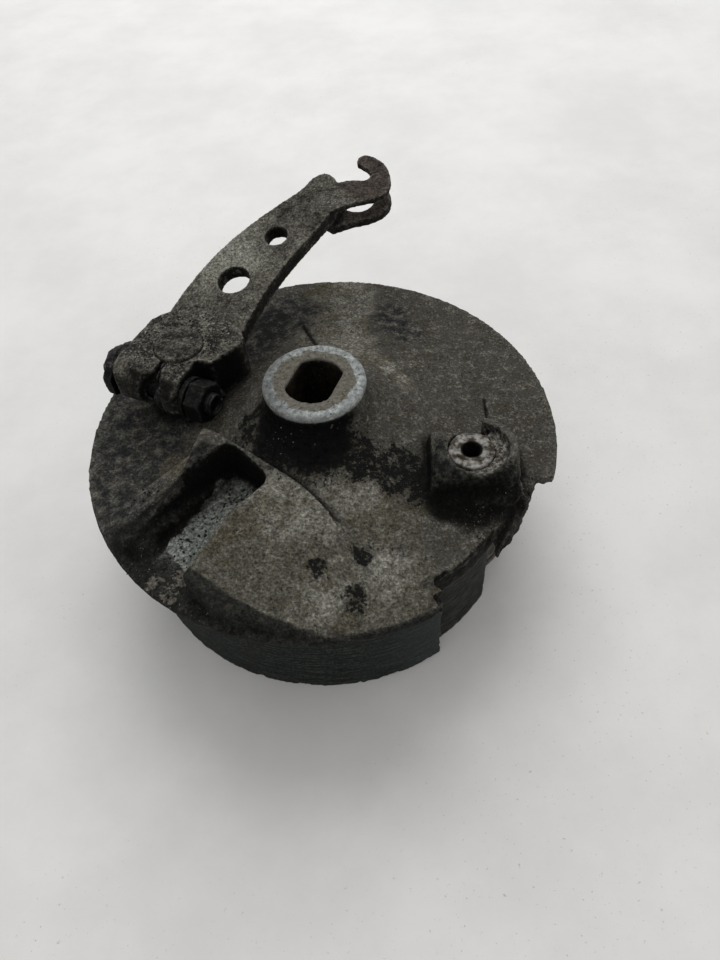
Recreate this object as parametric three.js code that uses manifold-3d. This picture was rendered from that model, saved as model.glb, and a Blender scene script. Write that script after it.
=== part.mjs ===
// Drum brake backing plate with its cam, brake arm, shoes and return springs.
// Millimetres, +Z up. The assembly stands on the edges of its shoes at z = 0.
import * as THREE from "three";
import { mergeVertices } from "three/addons/utils/BufferGeometryUtils.js";
import Module from "manifold-3d";

const wasm = await Module();
wasm.setup();

// ---- driving dimensions ----
const GAP = 0.3; // clearance between pieces that touch
const AXLE = new THREE.Vector2(0, -8.19); // axle axis, seen from the middle of the whole footprint
const CAM_LINE = THREE.MathUtils.degToRad(153.4); // direction from the axle to the camshaft
const CAM_REACH = 38.9; // axle to camshaft
const ANCHOR_REACH = 41; // axle to anchor pin, on the far side
const SHOE_WIDTH = 28;
const LINING_RADIUS = 55.1;
const SHOE_RADIUS = 51.7;
const LINING_HALF_ANGLE = THREE.MathUtils.degToRad(55);
const FLANGE_TOP = 40; // height of the flange's top face
const FLANGE_RADIUS = 61.5;
const FLANGE_THICK = 2.6;
const BOSS_RADIUS = 13;
const BOSS_TOP = 18; // above the flange top
const BORE_RADIUS = 7.5;
const BORE_FLATS = 11.6; // distance across the flats of the double-D bore
const PIN_RADIUS = 5.5;
const SHAFT_RADIUS = 6.2;
const CAM_HALF_THICK = 4.5;
const CAM_HALF_WIDTH = 8;
const SLOT_LINE = THREE.MathUtils.degToRad(223); // direction of the torque slot
const SLOT_HALF = 7.4;
const SLOT_START = 23.6; // axle to the slot's closed end
const SLOT_FLOOR = -0.6;
const ARM_LINE = THREE.MathUtils.degToRad(60.4); // direction of the brake arm from its hub
const HUB_BOTTOM = 5.9;
const HUB_TOP = 18;
const BLADE_FOLD = new THREE.Vector2(10, 17); // where the blade leaves the hub: distance along the arm, height
const BLADE_RISE = THREE.MathUtils.degToRad(13);
const BLADE_THICK = 4.6;
const BOLT_OFFSET = 9.4; // camshaft axis to pinch bolt axis
const BOLT_HEIGHT = 10.8;
const BOLT_RADIUS = 3;
const HEX_FLATS = 10;
const RING_SEGMENTS = 60;
const ROUND_SEGMENTS = 24;

// ---- shape helpers ----
const polar = (radius, angle) => new THREE.Vector2(radius * Math.cos(angle), radius * Math.sin(angle));
const deg = THREE.MathUtils.degToRad;

function solidOf(geometry) {
  const plain = geometry.index ? geometry.toNonIndexed() : geometry.clone();
  plain.deleteAttribute("normal");
  plain.deleteAttribute("uv");
  const merged = mergeVertices(plain, 1e-4);
  return new wasm.Manifold(
    new wasm.Mesh({
      numProp: 3,
      vertProperties: merged.attributes.position.array,
      triVerts: new Uint32Array(merged.index.array),
    }),
  );
}

function geometryOf(solid) {
  const mesh = solid.getMesh();
  const geometry = new THREE.BufferGeometry();
  geometry.setAttribute("position", new THREE.BufferAttribute(mesh.vertProperties, 3));
  geometry.setIndex(new THREE.BufferAttribute(mesh.triVerts, 1));
  const flat = geometry.toNonIndexed();
  flat.computeVertexNormals();
  return flat;
}

const join = (...solids) => solids.reduce((all, next) => all.add(next));
const cut = (solid, ...tools) => tools.reduce((left, tool) => left.subtract(tool), solid);

function prism(shape, z0, z1, curveSegments = ROUND_SEGMENTS / 2) {
  const geometry = new THREE.ExtrudeGeometry(shape, { depth: z1 - z0, bevelEnabled: false, curveSegments });
  return solidOf(geometry.translate(0, 0, z0));
}

function outline(points) {
  return new THREE.Shape(points.map(([x, y]) => new THREE.Vector2(x, y)));
}

function rod(radius, z0, z1, centre = new THREE.Vector2(), segments = ROUND_SEGMENTS) {
  const geometry = new THREE.CylinderGeometry(radius, radius, z1 - z0, segments);
  return solidOf(geometry.rotateX(Math.PI / 2).translate(centre.x, centre.y, (z0 + z1) / 2));
}

function block(size, centre) {
  return solidOf(new THREE.BoxGeometry(...size).translate(...centre));
}

// A ring or part of a ring about the axis, between two angles.
function arcShape(inner, outer, start, end) {
  const shape = new THREE.Shape();
  shape.absarc(0, 0, outer, start, end, false);
  shape.absarc(0, 0, inner, end, start, true);
  return shape;
}

function fullRing(inner, outer, z0, z1, segments = ROUND_SEGMENTS) {
  const profile = [[inner, z0], [outer, z0], [outer, z1], [inner, z1], [inner, z0]];
  return lathed(profile, segments);
}

// Turns a closed (radius, height) profile about +Z.
function lathed(profile, segments) {
  const points = profile.map(([r, z]) => new THREE.Vector2(r, z));
  return solidOf(new THREE.LatheGeometry(points, segments).rotateX(Math.PI / 2));
}

// Everything under the plane z = a x + b y + c, as a large slab.
function under(a, b, c) {
  const slab = new THREE.BoxGeometry(300, 300, 120).translate(0, 0, -60);
  const turn = new THREE.Quaternion().setFromUnitVectors(
    new THREE.Vector3(0, 0, 1),
    new THREE.Vector3(-a, -b, 1).normalize(),
  );
  return solidOf(slab.applyQuaternion(turn).translate(0, 0, c));
}

function hexagon(flats) {
  const corners = Array.from({ length: 6 }, (_, i) => polar(flats / Math.sqrt(3), (i * Math.PI) / 3));
  return new THREE.Shape(corners);
}

function move(solid, matrix) {
  return solidOf(geometryOf(solid).applyMatrix4(matrix));
}

const assembly = new THREE.Group();

function addNode(parent, name, solid, color, roughness, metalness) {
  const material = new THREE.MeshStandardMaterial({ color, roughness, metalness });
  const mesh = new THREE.Mesh(geometryOf(solid), material);
  mesh.name = name;
  parent.add(mesh);
}

// Groups that hold the pieces: the axle axis, the shoe line and the camshaft.
const plateFrame = new THREE.Group();
plateFrame.position.set(AXLE.x, AXLE.y, FLANGE_TOP);
const shoeFrame = new THREE.Group();
shoeFrame.position.set(AXLE.x, AXLE.y, 0);
shoeFrame.rotation.z = CAM_LINE;
const armFrame = new THREE.Group();
const camCentre = polar(CAM_REACH, CAM_LINE);
armFrame.position.set(AXLE.x + camCentre.x, AXLE.y + camCentre.y, FLANGE_TOP);
armFrame.rotation.z = ARM_LINE - Math.PI / 2; // local +Y runs along the arm, +X along the pinch bolt
assembly.add(plateFrame, shoeFrame, armFrame);

// ---- backing plate ----
const DISH_START = 16;
const DISH_RISE = 9.2;
const DISH_POWER = 3.2;
const SKIN = 3.8;
const INNER_BOSS_BOTTOM = -10;
const SEAL_RADIUS = 12;
const SEAL_THICK = 4;
const anchorCentre = polar(-ANCHOR_REACH, CAM_LINE);

function dish(radius) {
  return DISH_RISE * Math.pow((FLANGE_RADIUS - radius) / (FLANGE_RADIUS - DISH_START), DISH_POWER);
}

function plateBlank() {
  const steps = 7;
  const along = (from, to, drop) =>
    Array.from({ length: steps + 1 }, (_, i) => {
      const radius = from + ((to - from) * i) / steps;
      return [radius, dish(radius) - drop];
    });
  const underside = [
    [0, INNER_BOSS_BOTTOM],
    [14, INNER_BOSS_BOTTOM],
    [14.6, 3.4],
    ...along(18, 50.5, SKIN),
    [50.5, -10.5],
    [53.2, -10.5],
    [53.2, -FLANGE_THICK - 0.2],
    [55.5, -FLANGE_THICK - 0.2],
    [55.5, -8],
    [57.3, -8],
    [57.3, -FLANGE_THICK],
    [FLANGE_RADIUS - 0.5, -FLANGE_THICK],
    [FLANGE_RADIUS, -FLANGE_THICK + 0.5],
  ];
  const top = [
    ...along(FLANGE_RADIUS, DISH_START, 0),
    [14, 11.4],
    [BOSS_RADIUS, 14],
    [BOSS_RADIUS, BOSS_TOP - 0.5],
    [BOSS_RADIUS - 0.5, BOSS_TOP],
    [0, BOSS_TOP],
  ];
  return lathed([...underside, ...top], RING_SEGMENTS);
}

// The raised sector that carries the torque slot, with a plane top that falls to the rim.
function raisedSector() {
  const shape = new THREE.Shape();
  shape.moveTo(-28.5, -6);
  shape.lineTo(-7.6, -21.3);
  shape.quadraticCurveTo(1.5, -29, 5.5, -39);
  shape.lineTo(12.5, -58);
  shape.absarc(0, 0, 59.4, deg(-78), deg(-115), true);
  shape.lineTo(-40, -38);
  shape.closePath();
  return prism(shape, -2, 16).intersect(under(-0.153, 0.153, 9.9));
}

// The bank on the slot's other side, falling away to the left.
function slotBank() {
  const shape = new THREE.Shape();
  shape.moveTo(-27.5, -5.5);
  shape.lineTo(-50, -19);
  shape.absarc(0, 0, 59, deg(-158), deg(-142), false);
  shape.lineTo(-20, -22);
  shape.closePath();
  return prism(shape, -2, 16).intersect(under(0.331, -0.112, 16));
}

// Torque slot, open at the rim, with rounded inner corners and a right side that flares.
function slotCut() {
  const corner = 3.5;
  const shape = new THREE.Shape();
  shape.moveTo(SLOT_START, corner - SLOT_HALF);
  shape.quadraticCurveTo(SLOT_START, -SLOT_HALF, SLOT_START + corner, -SLOT_HALF);
  shape.lineTo(70, -SLOT_HALF - 0.8);
  shape.lineTo(70, SLOT_HALF + 7);
  shape.lineTo(SLOT_START + 14, SLOT_HALF);
  shape.lineTo(SLOT_START + corner, SLOT_HALF);
  shape.quadraticCurveTo(SLOT_START, SLOT_HALF, SLOT_START, SLOT_HALF - corner);
  shape.closePath();
  return move(prism(shape, SLOT_FLOOR, 30), new THREE.Matrix4().makeRotationZ(SLOT_LINE));
}

function slotPad() {
  const length = 49 - SLOT_START;
  const pad = block([length + 4, 2 * SLOT_HALF + 7, 8], [SLOT_START + length / 2, 0, SLOT_FLOOR - 0.2]);
  return move(pad, new THREE.Matrix4().makeRotationZ(SLOT_LINE));
}

function anchorBoss() {
  const footprint = outline([[29, -13], [46.6, -16.2], [45.2, -26.6], [28, -25]]);
  const geometry = new THREE.ExtrudeGeometry(footprint, {
    depth: 3,
    bevelThickness: 4,
    bevelSize: 2.4,
    bevelSegments: 2,
    curveSegments: 4,
  });
  const outside = solidOf(geometry.translate(0, 0, 1.6));
  const inside = rod(8.5, 19.6 - FLANGE_TOP, 0, anchorCentre);
  const lip = arcShape(7.4, 9.4, deg(-70), deg(75));
  const collar = prism(lip, 2, 9.8, 10).translate([38.3, -18.9, 0]);
  return join(outside, inside, collar);
}

function doubleD(radius, flats) {
  const half = flats / 2;
  const corner = Math.acos(half / radius);
  const shape = new THREE.Shape();
  shape.absarc(0, 0, radius, corner, Math.PI - corner, false);
  shape.absarc(0, 0, radius, Math.PI + corner, 2 * Math.PI - corner, false);
  return shape;
}

// The stretch of flange that is broken away, and the part of the skirt that went with it.
// The fracture slopes down from the plate's face to the skirt.
function breakage() {
  const stretch = new THREE.Shape();
  stretch.moveTo(...polar(50, deg(-62)).toArray());
  stretch.lineTo(...polar(66, deg(-66)).toArray());
  stretch.lineTo(...polar(72, deg(-44)).toArray());
  stretch.lineTo(...polar(66, deg(-23)).toArray());
  stretch.lineTo(...polar(50, deg(-29)).toArray());
  stretch.closePath();
  const slope = lathed([[53.6, 4], [53.6, 0.2], [58.4, -5.6], [80, -5.6], [80, 4], [53.6, 4]], RING_SEGMENTS);
  const skirtLoss = arcShape(54.2, 66, deg(-64), deg(-45.5));
  return join(slope.intersect(prism(stretch, -20, 10)), prism(skirtLoss, -20, 4));
}

function backingPlate() {
  const camBoss = rod(10.8, 25.3 - FLANGE_TOP, 3.4, camCentre);
  const bore = move(
    prism(doubleD(BORE_RADIUS, BORE_FLATS), -30, 30),
    new THREE.Matrix4().makeRotationZ(CAM_LINE),
  );
  const solid = join(plateBlank(), raisedSector(), slotBank(), slotPad(), anchorBoss(), camBoss);
  return cut(
    solid,
    slotCut(),
    bore,
    breakage(),
    rod(SEAL_RADIUS + GAP, INNER_BOSS_BOTTOM - 1, INNER_BOSS_BOTTOM + SEAL_THICK + GAP, new THREE.Vector2(), 36),
    rod(7.4, 7.2, 20, new THREE.Vector2(38.3, -18.9)),
    rod(PIN_RADIUS + GAP, -30, 20, anchorCentre),
    rod(SHAFT_RADIUS + GAP, -30, 20, camCentre),
    rod(9.8, 1.8, 20, camCentre),
  );
}

addNode(plateFrame, "backing_plate", backingPlate(), "#77736b", 0.75, 0.4);

const hubSeal = fullRing(SEAL_RADIUS - 3, SEAL_RADIUS, INNER_BOSS_BOTTOM, INNER_BOSS_BOTTOM + SEAL_THICK, 36);
addNode(plateFrame, "hub_seal", hubSeal, "#1f1e1c", 0.85, 0);

// ---- anchor pin and what keeps the shoes on it ----
const PIN_TOP = 7.6;
const PIN_BOTTOM = 4 - FLANGE_TOP;
const CLIP_BOTTOM = 5.6 - FLANGE_TOP;
const CLIP_THICK = 1.2;

function anchorPin() {
  const pin = rod(PIN_RADIUS, PIN_BOTTOM, PIN_TOP, anchorCentre);
  const groove = fullRing(PIN_RADIUS - 0.9, PIN_RADIUS + 2, CLIP_BOTTOM - GAP, CLIP_BOTTOM + CLIP_THICK + GAP);
  const grooveAtPin = groove.translate([anchorCentre.x, anchorCentre.y, 0]);
  return cut(pin, rod(2.4, PIN_TOP - 14, PIN_TOP + 1, anchorCentre), grooveAtPin);
}

function anchorClip() {
  const shape = arcShape(PIN_RADIUS - 0.6, PIN_RADIUS + 2.8, deg(28), deg(332));
  return prism(shape, CLIP_BOTTOM, CLIP_BOTTOM + CLIP_THICK, 14).translate([anchorCentre.x, anchorCentre.y, 0]);
}

function anchorWasher() {
  const bottom = CLIP_BOTTOM + CLIP_THICK + GAP;
  return fullRing(PIN_RADIUS + GAP, 10.4, bottom, bottom + 1.5).translate([anchorCentre.x, anchorCentre.y, 0]);
}

addNode(plateFrame, "anchor_pin", anchorPin(), "#8d857b", 0.7, 0.6);
addNode(plateFrame, "anchor_washer", anchorWasher(), "#5f5b55", 0.6, 0.7);
addNode(plateFrame, "anchor_clip", anchorClip(), "#4c4843", 0.5, 0.8);

// ---- camshaft, its seal and washer ----
const CAM_BOTTOM = 4 - FLANGE_TOP;
const CAM_TOP = 24.9 - FLANGE_TOP;

function camShaft() {
  const cam = block(
    [2 * CAM_HALF_WIDTH, 2 * CAM_HALF_THICK, CAM_TOP - CAM_BOTTOM],
    [0, 0, (CAM_TOP + CAM_BOTTOM) / 2],
  );
  const alongShoes = new THREE.Matrix4().makeRotationZ(CAM_LINE - (ARM_LINE - Math.PI / 2));
  const shaft = rod(SHAFT_RADIUS, CAM_TOP - 0.2, HUB_TOP + 0.5);
  return cut(join(move(cam, alongShoes), shaft), boltRod(BOLT_RADIUS + GAP, -30, 30));
}

// A rod along the pinch bolt's axis, in the arm's own frame.
function boltRod(radius, x0, x1) {
  const geometry = new THREE.CylinderGeometry(radius, radius, x1 - x0, ROUND_SEGMENTS);
  return solidOf(geometry.rotateZ(Math.PI / 2).translate((x0 + x1) / 2, -BOLT_OFFSET, BOLT_HEIGHT));
}

addNode(armFrame, "cam_shaft", camShaft(), "#4f4b46", 0.6, 0.7);
addNode(armFrame, "cam_felt_seal", fullRing(SHAFT_RADIUS + GAP, 9.5, 2.1, 3.7), "#2a2622", 0.95, 0);
addNode(armFrame, "cam_washer", fullRing(SHAFT_RADIUS + GAP, 9.6, 4, 5.6), "#56524d", 0.6, 0.7);

// ---- brake arm: split hub, rising blade and hooked fork, forged in one ----
const EAR_SEAT = 7.4;
const HUB_SEAT = -12.9;
const EAR_FRONT = -14.9;

// The hub seen from above, split in front of the shaft.
function hubPlan() {
  const shape = new THREE.Shape();
  shape.moveTo(HUB_SEAT, -11);
  shape.quadraticCurveTo(HUB_SEAT, EAR_FRONT, -9, EAR_FRONT);
  shape.lineTo(-4.8, EAR_FRONT);
  shape.lineTo(-1, -9.8);
  shape.lineTo(-0.8, 0);
  shape.lineTo(0.8, 0);
  shape.lineTo(0.8, -9);
  shape.lineTo(2.6, EAR_FRONT);
  shape.quadraticCurveTo(EAR_SEAT, EAR_FRONT, EAR_SEAT, -12);
  shape.lineTo(EAR_SEAT, -3);
  shape.lineTo(11.4, -2.4);
  shape.quadraticCurveTo(13.4, 2, 15, 7);
  shape.quadraticCurveTo(15, 13, 0, 13.4);
  shape.quadraticCurveTo(-11, 13, HUB_SEAT, 6);
  shape.closePath();
  return shape;
}

// The hub seen along the pinch bolt: ears rounded in front, flat above and below.
function hubSide() {
  const shape = new THREE.Shape();
  shape.moveTo(20, HUB_BOTTOM);
  shape.lineTo(20, HUB_TOP);
  shape.lineTo(-BOLT_OFFSET, HUB_TOP);
  shape.quadraticCurveTo(-13.8, HUB_TOP - 0.4, EAR_FRONT, BOLT_HEIGHT + 1.2);
  shape.quadraticCurveTo(EAR_FRONT - 0.4, HUB_BOTTOM + 1, -BOLT_OFFSET, HUB_BOTTOM);
  shape.closePath();
  const along = new THREE.Matrix4().makeBasis(
    new THREE.Vector3(0, 1, 0),
    new THREE.Vector3(0, 0, 1),
    new THREE.Vector3(1, 0, 0),
  );
  return move(prism(shape, -20, 20, 8), along);
}

function armHub() {
  return prism(hubPlan(), HUB_BOTTOM, HUB_TOP + 0.1, 5).intersect(hubSide());
}

function bladePlan() {
  const shape = new THREE.Shape();
  shape.moveTo(-10.6, 6);
  shape.bezierCurveTo(-11, 28, -6.5, 42, 4.6, 60);
  shape.quadraticCurveTo(6, 62.6, 6.4, 65.4);
  shape.quadraticCurveTo(7.2, 69.8, 11, 69.6);
  shape.quadraticCurveTo(13.2, 69.4, 15, 66.8);
  shape.lineTo(17.8, 57.5);
  shape.bezierCurveTo(17, 46, 10.2, 34, 12.8, 9);
  shape.closePath();
  return shape;
}

// The upper ear: a stem from the blade that curls back on itself into a J.
function upperEarPlan() {
  const shape = new THREE.Shape();
  shape.moveTo(12, 62);
  shape.lineTo(17.4, 56.4);
  shape.quadraticCurveTo(21, 60.6, 26.4, 63.4);
  shape.quadraticCurveTo(32, 66.4, 29.6, 72);
  shape.quadraticCurveTo(26.4, 79.4, 18.5, 79.6);
  shape.quadraticCurveTo(15.6, 78.4, 17.4, 75.4);
  shape.quadraticCurveTo(21.4, 74.8, 23, 72.4);
  shape.quadraticCurveTo(23.4, 70.6, 21.6, 70);
  shape.quadraticCurveTo(18, 69.6, 14, 66.8);
  shape.closePath();
  return shape;
}

// The lower ear: a slimmer hook with a wider mouth.
function lowerEarPlan() {
  const shape = new THREE.Shape();
  shape.moveTo(12, 62);
  shape.lineTo(16.4, 56);
  shape.quadraticCurveTo(20.4, 60, 25.4, 62.8);
  shape.quadraticCurveTo(30.6, 66.4, 29, 71.6);
  shape.quadraticCurveTo(27, 76.4, 21.4, 76.8);
  shape.quadraticCurveTo(19, 76.4, 20, 74.4);
  shape.quadraticCurveTo(23.6, 73.8, 24.4, 70.4);
  shape.quadraticCurveTo(25.2, 65, 19.6, 64.2);
  shape.lineTo(14, 64.6);
  shape.closePath();
  return shape;
}

const UPPER_EAR_THICK = 2;
const LOWER_EAR_THICK = 2.7;
const EAR_PITCH = 7; // from the top of one ear to the top of the other

// A flat piece of the blade, drawn with its top at zero, then lifted about the fold.
function onBlade(shape, bottom, top, curveSegments) {
  const flat = prism(shape, bottom, top, curveSegments).translate([0, -BLADE_FOLD.x, 0]);
  const rise = new THREE.Matrix4().makeRotationX(BLADE_RISE);
  return move(flat, rise.setPosition(0, BLADE_FOLD.x, BLADE_FOLD.y));
}

function bladeHole(radius, across, along) {
  const shape = new THREE.Shape();
  shape.absarc(across, along, radius, 0, 2 * Math.PI, false);
  return onBlade(shape, -20, 20, ROUND_SEGMENTS / 2);
}

function brakeArm() {
  const root = outline([[9, 58], [16.6, 56.4], [17.6, 59], [16.8, 66.2], [12, 67.6], [9, 66]]);
  const solid = join(
    armHub(),
    onBlade(bladePlan(), -BLADE_THICK, 0, 10),
    onBlade(upperEarPlan(), -UPPER_EAR_THICK, -0.1, 6),
    onBlade(lowerEarPlan(), -EAR_PITCH - LOWER_EAR_THICK, -EAR_PITCH, 6),
    onBlade(root, -EAR_PITCH - LOWER_EAR_THICK + 0.1, -0.4, 4),
  );
  return cut(
    solid,
    rod(SHAFT_RADIUS + GAP, -10, 30),
    boltRod(BOLT_RADIUS + GAP, -30, 30),
    bladeHole(4.5, 1.7, 26.3),
    bladeHole(3.3, 6.2, 44),
  );
}

addNode(armFrame, "brake_arm", brakeArm(), "#4a4640", 0.7, 0.6);

// ---- pinch bolt, its washer and its nut ----
const HEAD_THICK = 2.8;
const NUT_THICK = 4.8;
const WASHER_THICK = 1.3;
const BOLT_END = 14.5;

function alongBolt(solid, start) {
  const place = new THREE.Matrix4().makeRotationY(Math.PI / 2).setPosition(start, -BOLT_OFFSET, BOLT_HEIGHT);
  return move(solid, place);
}

const headStart = HUB_SEAT - GAP - HEAD_THICK;
const washerStart = EAR_SEAT + GAP;
const nutStart = washerStart + WASHER_THICK + GAP;
const pinchBolt = join(
  alongBolt(prism(hexagon(HEX_FLATS), 0, HEAD_THICK), headStart),
  boltRod(BOLT_RADIUS, headStart + HEAD_THICK - 1, BOLT_END),
);
const pinchWasher = alongBolt(fullRing(BOLT_RADIUS + GAP, 5.6, 0, WASHER_THICK), washerStart);
const nutBlank = prism(hexagon(HEX_FLATS), 0, NUT_THICK);
const pinchNut = alongBolt(cut(nutBlank, rod(BOLT_RADIUS + GAP, -1, NUT_THICK + 1)), nutStart);
addNode(armFrame, "pinch_bolt", pinchBolt, "#2e2b28", 0.65, 0.6);
addNode(armFrame, "pinch_washer", pinchWasher, "#33302c", 0.65, 0.6);
addNode(armFrame, "pinch_nut", pinchNut, "#2c2926", 0.65, 0.6);

// ---- brake shoes: in the shoe frame, +X runs to the camshaft, the anchor pin is on -X ----
const WEB_BOTTOM = 11.5;
const WEB_TOP = 16.5;
const TOE_FACE = CAM_HALF_THICK + GAP + 1.2 + GAP;
const SPRING_X = 24;
const SPRING_Y = 28.6;

function shoe() {
  const rim = prism(arcShape(SHOE_RADIUS - 3.5, SHOE_RADIUS, deg(12), deg(168)), 0, SHOE_WIDTH, 26);
  const web = prism(arcShape(34.4, SHOE_RADIUS - 3, deg(11), deg(169)), WEB_BOTTOM, WEB_TOP, 26);
  const toe = block([16, 6.4, 18], [CAM_REACH, TOE_FACE + 3.2, SHOE_WIDTH / 2]);
  const heel = rod(10, 9, 19, new THREE.Vector2(-ANCHOR_REACH, 0));
  const heelLimit = block([60, 40, 40], [-ANCHOR_REACH, -19, SHOE_WIDTH / 2]);
  return cut(
    join(rim, web, toe, cut(heel, heelLimit)),
    rod(PIN_RADIUS + GAP, -1, 40, new THREE.Vector2(-ANCHOR_REACH, 0)),
    rod(2.4, 0, 40, new THREE.Vector2(SPRING_X, SPRING_Y)),
    rod(2.4, 0, 40, new THREE.Vector2(-SPRING_X, SPRING_Y)),
  );
}

function lining() {
  const half = LINING_HALF_ANGLE;
  const shape = arcShape(SHOE_RADIUS + GAP, LINING_RADIUS, Math.PI / 2 - half, Math.PI / 2 + half);
  return prism(shape, 0, SHOE_WIDTH, 22);
}

// Steel wear plate folded over the toe of the shoe, where the cam bears.
function slipper() {
  const near = TOE_FACE - GAP - 1.2;
  const plate = [15.4, 1.2, 20.8];
  const lip = [15.4, 5, 1.1];
  const lipY = near + lip[1] / 2;
  const lipZ = plate[2] / 2 - lip[2] / 2;
  return join(
    block(plate, [CAM_REACH, near + 0.6, SHOE_WIDTH / 2]),
    block(lip, [CAM_REACH, lipY, SHOE_WIDTH / 2 + lipZ]),
    block(lip, [CAM_REACH, lipY, SHOE_WIDTH / 2 - lipZ]),
  );
}

// The lower set sits at +Y of the shoe line; the upper set is the same parts turned over.
const sides = { lower: 0, upper: Math.PI };
for (const [side, turn] of Object.entries(sides)) {
  const frame = new THREE.Group();
  frame.rotation.x = turn;
  frame.position.z = turn ? SHOE_WIDTH : 0;
  shoeFrame.add(frame);
  addNode(frame, side + "_shoe", shoe(), "#6d6a64", 0.7, 0.5);
  addNode(frame, side + "_lining", lining(), "#33372f", 0.85, 0.1);
  addNode(frame, side + "_slipper", slipper(), "#5a554e", 0.5, 0.8);
}

// ---- return springs, hooked through the two webs ----
const WIRE = 0.9;
const COIL_RADIUS = 3.6;
const COIL_TURNS = 11;
const COIL_HALF = 13;

class SpringCurve extends THREE.Curve {
  constructor(x) {
    super();
    this.x = x;
    const mid = SHOE_WIDTH / 2;
    const rise = WEB_TOP - mid + 2;
    const hook = (side) => [
      new THREE.Vector3(x, side * (SPRING_Y - 3), mid - rise),
      new THREE.Vector3(x, side * SPRING_Y, mid - rise + 0.6),
      new THREE.Vector3(x, side * SPRING_Y, mid),
      new THREE.Vector3(x, side * SPRING_Y, mid + rise - 0.6),
      new THREE.Vector3(x, side * (SPRING_Y - 3), mid + rise),
      new THREE.Vector3(x, side * (COIL_HALF + 3), mid + rise - 0.4),
    ];
    const perTurn = 10;
    const coil = Array.from({ length: COIL_TURNS * perTurn + 1 }, (_, i) => {
      const angle = (2 * Math.PI * i) / perTurn;
      const y = -COIL_HALF + (2 * COIL_HALF * i) / (COIL_TURNS * perTurn);
      return new THREE.Vector3(x + COIL_RADIUS * Math.sin(angle), y, mid + COIL_RADIUS * Math.cos(angle));
    });
    this.path = new THREE.CatmullRomCurve3([...hook(-1), ...coil, ...hook(1).reverse()]);
  }
  getPoint(t, target = new THREE.Vector3()) {
    return this.path.getPoint(t, target);
  }
}

function spring(x) {
  const section = new THREE.Shape(Array.from({ length: 6 }, (_, i) => polar(WIRE, (i * Math.PI) / 3)));
  const steps = 132;
  return solidOf(new THREE.ExtrudeGeometry(section, { extrudePath: new SpringCurve(x), steps }));
}

addNode(shoeFrame, "cam_side_spring", spring(SPRING_X), "#3d3934", 0.5, 0.8);
addNode(shoeFrame, "anchor_side_spring", spring(-SPRING_X), "#3d3934", 0.5, 0.8);

export default assembly;
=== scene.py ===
"""An old drum brake backing plate, corroded and greasy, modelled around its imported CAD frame.

Every piece is made in the CAD frame, in metres. Lengths named in millimetres are multiplied by MM.
"""
import itertools
import math
import random

import bmesh
import bpy
import numpy as np
from mathutils import Matrix, Vector
from mathutils.bvhtree import BVHTree


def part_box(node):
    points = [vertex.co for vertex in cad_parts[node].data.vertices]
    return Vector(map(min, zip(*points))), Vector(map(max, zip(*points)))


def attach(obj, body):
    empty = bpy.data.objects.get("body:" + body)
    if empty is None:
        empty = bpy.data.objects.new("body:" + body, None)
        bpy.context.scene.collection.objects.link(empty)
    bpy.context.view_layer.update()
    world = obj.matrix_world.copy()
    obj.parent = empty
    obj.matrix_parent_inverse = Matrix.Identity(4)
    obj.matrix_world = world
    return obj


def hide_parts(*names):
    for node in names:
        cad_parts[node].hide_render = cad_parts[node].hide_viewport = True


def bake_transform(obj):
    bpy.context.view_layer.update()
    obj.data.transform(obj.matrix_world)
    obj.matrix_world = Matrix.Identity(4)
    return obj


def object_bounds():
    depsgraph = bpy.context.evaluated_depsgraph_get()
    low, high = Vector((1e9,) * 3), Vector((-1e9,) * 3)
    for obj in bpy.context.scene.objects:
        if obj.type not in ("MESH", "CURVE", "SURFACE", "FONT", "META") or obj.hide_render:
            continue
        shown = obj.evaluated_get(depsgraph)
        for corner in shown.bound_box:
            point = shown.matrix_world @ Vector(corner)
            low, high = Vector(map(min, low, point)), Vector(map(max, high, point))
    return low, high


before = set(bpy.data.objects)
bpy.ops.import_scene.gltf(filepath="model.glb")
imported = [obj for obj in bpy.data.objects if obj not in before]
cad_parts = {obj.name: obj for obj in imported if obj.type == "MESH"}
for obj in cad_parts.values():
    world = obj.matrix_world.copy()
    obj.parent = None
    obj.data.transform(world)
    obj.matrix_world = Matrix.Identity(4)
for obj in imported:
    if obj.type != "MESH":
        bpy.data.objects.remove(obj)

MM = 0.001
cad_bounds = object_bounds()

# ---- places taken from the frame ----
plate_low, plate_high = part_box("backing_plate")
BOSS_RISE = 18 * MM  # the axle boss's top above the rim flange's top


def middle(node):
    low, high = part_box(node)
    return (low + high) / 2


AXLE = Vector((*middle("backing_plate").xy, plate_high.z - BOSS_RISE))
CAM = middle("cam_washer")
ANCHOR = middle("anchor_washer")
CAM_LINE = math.atan2(CAM.y - AXLE.y, CAM.x - AXLE.x)
RIM = (plate_high.x - plate_low.x) / 2
ARM_LINE = math.radians(60.4)  # direction of the brake arm from its hub, seen from above
ALONG = Vector((math.cos(ARM_LINE), math.sin(ARM_LINE), 0))
ACROSS = Vector((ALONG.y, -ALONG.x, 0))  # along the pinch bolt, towards its nut
BOLT_LINE = (-9.4, 10.8)  # the pinch bolt's place along the arm and above the flange, in mm
SLOT_LINE = math.radians(223)  # direction of the torque slot, away from the axle
SLOT_X, SLOT_Y = -0.731, -0.682  # a unit step along it

random.seed(5)
rng = np.random.default_rng(5)


def new_object(name, data):
    made = bpy.data.objects.new(name, data)
    bpy.context.scene.collection.objects.link(made)
    return made


def mesh_object(name, points, faces):
    mesh = bpy.data.meshes.new(name)
    mesh.from_pydata(points, [], faces)
    return new_object(name, mesh)


def bmesh_object(name, work):
    mesh = bpy.data.meshes.new(name)
    work.to_mesh(mesh)
    work.free()
    return new_object(name, mesh)


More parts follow.
